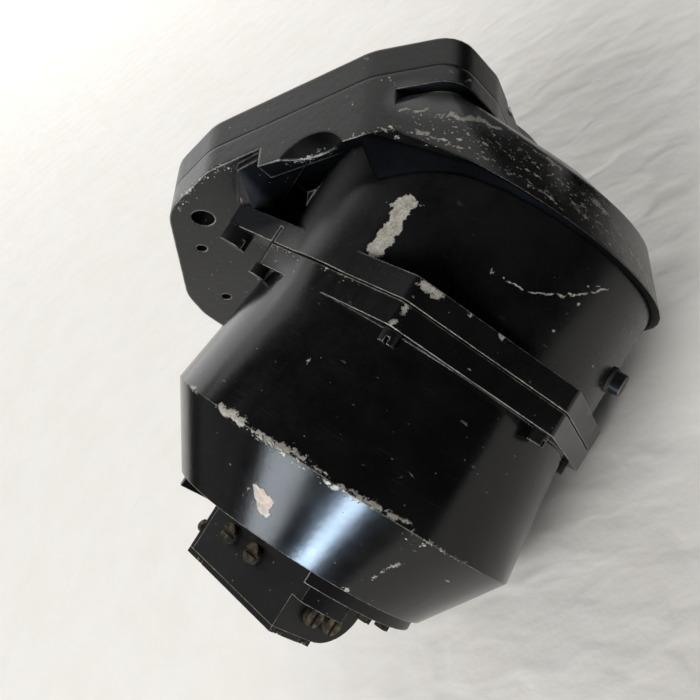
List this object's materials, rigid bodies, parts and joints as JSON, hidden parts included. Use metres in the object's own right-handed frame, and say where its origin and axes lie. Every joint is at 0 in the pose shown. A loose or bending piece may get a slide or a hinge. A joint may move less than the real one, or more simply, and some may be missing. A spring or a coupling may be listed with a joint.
{
  "type": "aircraft compass",
  "caption": "Liquid-filled aircraft magnetic compass: conical bowl, flanged hood casting with an inclined window front, floating card and a geared magnet corrector.",
  "frame": {"origin": "centre of the four panel holes, on the flat front face of the bezel plate", "axes": "-Y out of the inclined front, +X along the front flange to its low end, +Z across the part from cheek to cheek; the part is shown lying on one cheek, as in the picture, and the bowl's axis leans 38 degrees from -Y towards -X"},
  "size_m": [0.115, 0.1087, 0.0958],
  "materials": {
    "black_enamel": "worn semi-gloss black enamel over light alloy",
    "brass": "dull, dirty",
    "steel": "dull",
    "glass": "clear",
    "rubber": "matt",
    "card_white": "aged white paint",
    "jewel": "polished stone"
  },
  "bodies": {
    "housing": {"hood_casting": "black_enamel", "bezel_plate": "black_enamel", "window_glass": "glass", "window_gasket": "rubber", "window_ring": "brass", "bezel_screws": "steel", "upper_bowl": "black_enamel", "bowl_glass": "glass", "glass_gasket": "rubber", "glass_ring": "brass", "lubber_line": "card_white", "filler_plug": "black_enamel", "filler_washer": "rubber", "flange_gasket": "rubber", "flange_screws": "brass", "ear_screws": "brass", "lower_bowl": "black_enamel", "expansion_capsule": "brass", "capsule_nut": "brass", "pivot_post": "brass", "jewel_cup": "jewel", "corrector_body": "black_enamel", "corrector_screws": "brass", "corrector_end_plate": "black_enamel", "end_plate_screws": "brass", "corrector_cover": "black_enamel", "cover_screws": "brass", "spindle_bushes": "brass"},
    "card": {"card_pivot": "steel", "float": "card_white", "compass_card": "card_white", "card_magnets": "steel"},
    "cross_a": {"cross_spindle_a": "brass", "cross_gear_a": "brass", "cross_magnet_a": "steel"},
    "cross_b": {"cross_spindle_b": "brass", "cross_gear_b": "brass", "cross_magnet_b": "steel"},
    "long_a": {"long_spindle_a": "brass", "long_gear_a": "brass", "long_magnet_a": "steel"},
    "long_b": {"long_spindle_b": "brass", "long_gear_b": "brass", "long_magnet_b": "steel"}
  },
  "joints": [
    {"name": "card_spin", "type": "hinge", "parent": "housing", "child": "card", "pos_m": [-0.006, 0.0406, 0], "axis": [-0.6157, -0.788, 0], "continuous": true},
    {"name": "cross_a_turn", "type": "hinge", "parent": "housing", "child": "cross_a", "pos_m": [0.0333, 0.08115, 0], "axis": [0, 0, 1], "continuous": true},
    {"name": "cross_b_turn", "type": "hinge", "parent": "housing", "child": "cross_b", "pos_m": [0.02581, 0.087, 0], "axis": [0, 0, 1], "continuous": true},
    {"name": "long_a_turn", "type": "hinge", "parent": "housing", "child": "long_a", "pos_m": [0.01942, 0.09587, 0.00485], "axis": [-0.788, 0.6157, 0], "continuous": true},
    {"name": "long_b_turn", "type": "hinge", "parent": "housing", "child": "long_b", "pos_m": [0.01942, 0.09587, -0.00085], "axis": [-0.788, 0.6157, 0], "continuous": true}
  ],
  "couplings": [
    {"joint": "cross_b_turn", "follows": "cross_a_turn", "ratio": -1},
    {"joint": "long_b_turn", "follows": "long_a_turn", "ratio": -1}
  ]
}
